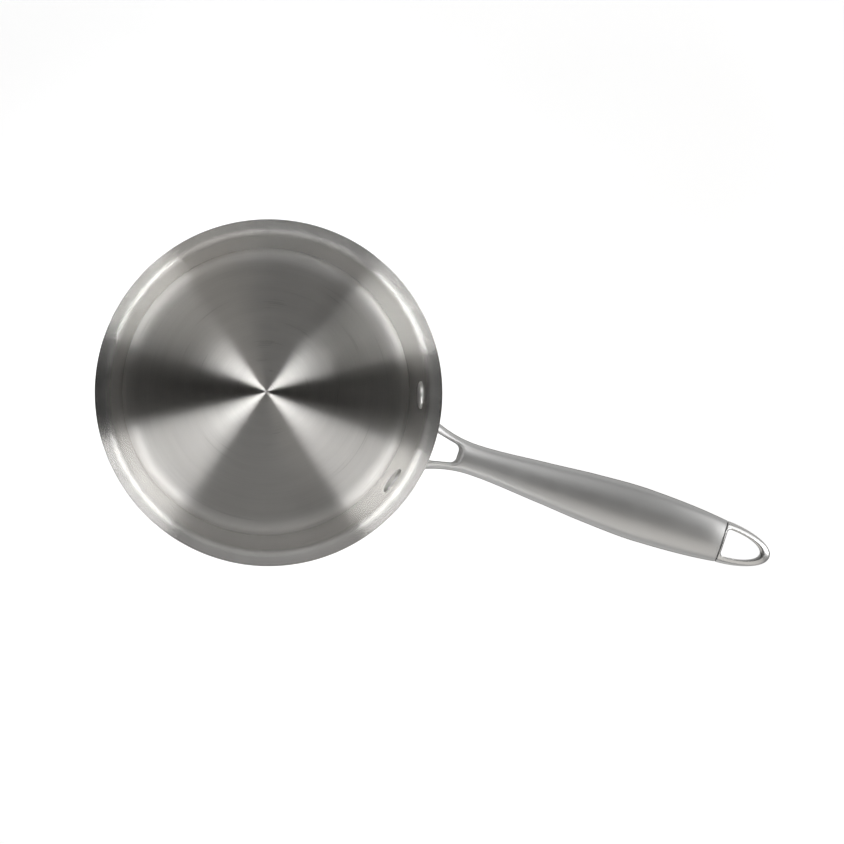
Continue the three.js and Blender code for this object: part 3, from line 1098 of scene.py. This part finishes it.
@dataclass
class Studio:
    """Pale floor, two keys, low strips round the pan, spots, a card at the grip and a grey room.

    Each key has two panels, and a small lamp for the bright pool on the pan's floor. Spots light the lip
    and the end of the grip. An aim is a radius and a height in millimetres, and a size is in metres.
    """

    view: Viewpoint
    floor_size: float = 16.0
    floor_drop: float = 0.2
    floor_color: Color = (0.8, 0.8, 0.8)
    floor_glow: float = 0.76
    mirrored_glow: float = 0.45
    overhead: float = 0.36
    horizon: float = 0.56
    room_levels: Pair = (0.1, 0.95)
    lower_part: float = 0.75
    lower_levels: Pair = (-0.3, 0.3)
    zenith_lean: float = 0.5
    side_flag: float = 0.0
    low_flag: float = 0.10
    flag_sides: Pair = (0.12, 0.20)
    flag_levels: Pair = (0.45, 0.75)
    lamp_distance: float = 0.55
    lamp_grid: float = 38.6
    key_aim_height: float = 3.0
    key_depth: float = 0.09
    pool_distance: float = 0.13
    pool_size: Pair = (0.040, 0.030)
    pool_grid: float = 22.6
    strip_aim: Pair = (70.0, 45.0)
    deep: float = 0.15
    thin: float = 0.03
    pair_turn: float = 8.0
    pair_width: float = 0.15
    rim_aim: Pair = (88.0, 84.0)
    rim_tilt: float = 41.0
    rim_turns: tuple[float, ...] = (-18.0, -9.0, 0.0, 9.0, 18.0)
    rim_size: Pair = (0.09, 0.10)
    rim_grid: float = 9.0
    grip_end: Point = (240.0, -80.0, 80.0)
    end_distance: float = 0.16
    end_size: Pair = (0.09, 0.08)
    end_grid: float = 30.0
    card_distance: float = 0.25
    card_size: Pair = (0.35, 0.30)
    card_color: Color = (1.0, 0.96, 0.90)

    @staticmethod
    def across(bearing: float, radius: float, height: float) -> Point:
        """Aim on the far side of the pan's axis from a bearing."""
        turn = math.radians(bearing)
        return (-radius * math.cos(turn), -radius * math.sin(turn), height)

    def key(
        self, side: str, bearing: float, tilt: float, width: float, brightness: float, pool: float,
        beyond: float,
    ) -> list[Softbox]:
        """A key of two panels aimed at the floor of the pan, and a small lamp for the bright pool.

        Args:
            side: Side of the picture that the key stands on.
            bearing: Its bearing.
            tilt: Its tilt.
            width: Width of both panels together.
            brightness: Brightness of the panels.
            pool: Brightness of the small lamp.
            beyond: How far past the pan's axis all are aimed, in millimetres.

        Returns:
            The two panels and the small lamp.
        """
        aim = self.across(bearing, beyond, self.key_aim_height)
        panel = width / 2
        apart = math.degrees(panel / 2 / (self.lamp_distance * math.sin(math.radians(tilt))))
        size = (self.lamp_distance, panel, self.key_depth)
        small = (self.pool_distance, *self.pool_size)
        return [
            Softbox("key_%s_a" % side, aim, bearing - apart, tilt, *size, brightness, self.lamp_grid),
            Softbox("key_%s_b" % side, aim, bearing + apart, tilt, *size, brightness, self.lamp_grid),
            Softbox("pool_" + side, aim, bearing, tilt, *small, pool, self.pool_grid),
        ]

    def strip(
        self, side: str, bearing: float, tilt: float, depth: float, width: float, brightness: float
    ) -> Softbox:
        """A low lamp that lights the wall across the pan from it, and no floor where it is thin."""
        stand = ("strip_" + side, self.across(bearing, *self.strip_aim), bearing, tilt)
        return Softbox(*stand, self.lamp_distance, width, depth, brightness, self.lamp_grid)

    def strip_pair(
        self, side: str, bearing: float, tilt: float, depth: float, brightness: float
    ) -> list[Softbox]:
        """Two strips side by side, each aimed at its own stretch of the wall."""
        turns = {"_a": -self.pair_turn, "_b": self.pair_turn}
        return [self.strip(side + end, bearing + turn, tilt, depth, self.pair_width, brightness)
                for end, turn in turns.items()]

    def rim_spot(self, bearing: float, brightness: float) -> Softbox:
        """A small lamp with a fine grid that lights only the lip across the pan from it."""
        stand = (self.across(bearing, *self.rim_aim), bearing, self.rim_tilt, self.lamp_distance)
        return Softbox("rim_spot_%d" % (bearing % 360), *stand, *self.rim_size, brightness, self.rim_grid)

    def rim_row(self, middle: float, brightness: float) -> list[Softbox]:
        """The spots for the lip on both sides of a middle bearing."""
        return [self.rim_spot(middle + turn, brightness) for turn in self.rim_turns]

    def end_spot(self, bearing: float, tilt: float, brightness: float) -> Softbox:
        """A small lamp that lights only the end of the grip, where it falls away to the loop."""
        stand = ("end_spot_%d" % bearing, self.grip_end, bearing, tilt, self.end_distance)
        return Softbox(*stand, *self.end_size, brightness, self.end_grid)

    def grip_card(self, bearing: float, tilt: float, brightness: float) -> Softbox:
        """A broad warm lamp beside the end of the grip."""
        stand = ("grip_card", self.grip_end, bearing, tilt, self.card_distance)
        return Softbox(*stand, *self.card_size, brightness, color=self.card_color)

    def lamps(self) -> list[Softbox]:
        """All the lamps, the ones over the pan first."""
        return [
            *self.key("right", bearing=33, tilt=35.5, width=0.215, brightness=10.0, pool=20.0, beyond=7.0),
            *self.key("left", bearing=141, tilt=34.5, width=0.19, brightness=8.0, pool=21.0, beyond=2.0),
            *self.rim_row(middle=0, brightness=1.2),
            *self.rim_row(middle=180, brightness=3.0),
            *self.strip_pair("upper_right", bearing=33, tilt=64, depth=self.deep, brightness=6.4),
            self.strip("top_right", bearing=67, tilt=56, depth=self.deep, width=0.30, brightness=1.2),
            self.strip("top", bearing=90, tilt=56, depth=self.deep, width=0.20, brightness=1.1),
            self.strip("top_left", bearing=110, tilt=56, depth=self.deep, width=0.30, brightness=0.9),
            *self.strip_pair("upper_left", bearing=141, tilt=64, depth=self.deep, brightness=7.2),
            *self.strip_pair("lower_left", bearing=213, tilt=67, depth=self.thin, brightness=40.0),
            self.strip("bottom_left", bearing=247, tilt=66.5, depth=self.thin, width=0.25, brightness=9.0),
            self.strip("bottom", bearing=270, tilt=66.5, depth=self.thin, width=0.20, brightness=8.0),
            self.strip("bottom_right", bearing=289, tilt=66.5, depth=self.thin, width=0.25, brightness=3.0),
            *self.strip_pair("lower_right", bearing=323, tilt=67, depth=self.thin, brightness=29.0),
            self.end_spot(bearing=5, tilt=40, brightness=5.5),
            self.end_spot(bearing=30, tilt=48, brightness=4.0),
            self.end_spot(bearing=52, tilt=62, brightness=2.4),
            self.grip_card(bearing=-100, tilt=42, brightness=0.50),
        ]

    def floor(self) -> None:
        """Makes the pale floor, which shows white and glows less for what mirrors it."""
        half = self.floor_size / 2 / MM
        sides = ((-half, -half), (half, -half), (half, half), (-half, half))
        corners = np.array([(*side, -self.floor_drop) for side in sides])
        floor = mesh_piece("studio_floor", corners, [(0, 1, 2, 3)])
        paint = bpy.data.materials.new("studio_floor_paint")
        paint.use_nodes = True
        sketch = Sketch(paint.node_tree)
        path = sketch.add("LightPath")
        seen = sketch.math("MAXIMUM", path.outputs["Is Camera Ray"], path.outputs["Is Transmission Ray"])
        direct = sketch.math("MULTIPLY", seen, self.floor_glow)
        strength = sketch.math("MULTIPLY_ADD", path.outputs["Is Glossy Ray"], self.mirrored_glow, direct)
        glow = sketch.add("Emission", {"Strength": strength})
        matt = sketch.add("BsdfDiffuse", {"Color": (*self.floor_color, 1)})
        both = sketch.add("AddShader", {0: matt.outputs[0], 1: glow.outputs[0]})
        sketch.add("OutputMaterial", {"Surface": both.outputs[0]})
        floor.data.materials.append(paint)

    def surroundings(self) -> None:
        """Makes the room: a dark band from left to right, dim above and behind, paler towards the horizon."""
        world = bpy.data.worlds.new("studio_room")
        bpy.context.scene.world = world
        world.use_nodes = True
        sketch = Sketch(world.node_tree)
        heading = sketch.add("TexCoord").outputs["Generated"]
        up = tuple(self.view.up())
        height = sketch.vector("DOT_PRODUCT", heading, (0, 0, 1)).outputs["Value"]
        upward = sketch.vector("DOT_PRODUCT", heading, up).outputs["Value"]
        in_flag = sketch.ramp(sketch.math("ABSOLUTE", upward), *self.flag_sides, 1.0, 0.0)
        flag = sketch.ramp(height, *self.flag_levels, self.low_flag, self.side_flag)
        zenith = tuple((Vector((0, 0, 1)) + self.view.up() * self.zenith_lean).normalized())
        level = sketch.vector("DOT_PRODUCT", heading, zenith).outputs["Value"]
        room = sketch.add("MapRange", {
            "Value": level,
            "From Min": self.room_levels[0],
            "From Max": self.room_levels[1],
            "To Min": self.horizon,
            "To Max": self.overhead,
        }).outputs["Result"]
        lower = sketch.ramp(upward, *self.lower_levels, self.lower_part, 1.0)
        room = sketch.math("MULTIPLY", room, lower)
        light = sketch.math("MULTIPLY_ADD", in_flag, sketch.math("SUBTRACT", flag, room), room)
        path = sketch.add("LightPath").outputs["Is Camera Ray"]
        strength = sketch.math("MAXIMUM", light, path)
        glow = sketch.add("Background", {"Strength": strength})
        sketch.add("OutputWorld", {"Surface": glow.outputs[0]})

    def build(self) -> None:
        """Makes the floor, the room and the lamps."""
        self.floor()
        self.surroundings()
        for lamp in self.lamps():
            lamp.build(self.view)
            log.info("%s: brightness %.2f", lamp.name, lamp.brightness)


def main() -> None:
    """Builds the camera, the studio and each piece in order."""
    logging.basicConfig(level=logging.INFO, format="%(name)s: %(message)s")
    bpy.context.scene.view_settings.view_transform = "Standard"
    pan = PanBody()
    handle = Handle(pan)
    view = Viewpoint()
    view.build()
    Studio(view).build()
    pan.build()
    handle.build()
    HangingLoop(handle).build()
    Rivet(pan, handle, 1, "rivet_left").build()
    Rivet(pan, handle, -1, "rivet_right").build()


if __name__ == "__main__":
    main()
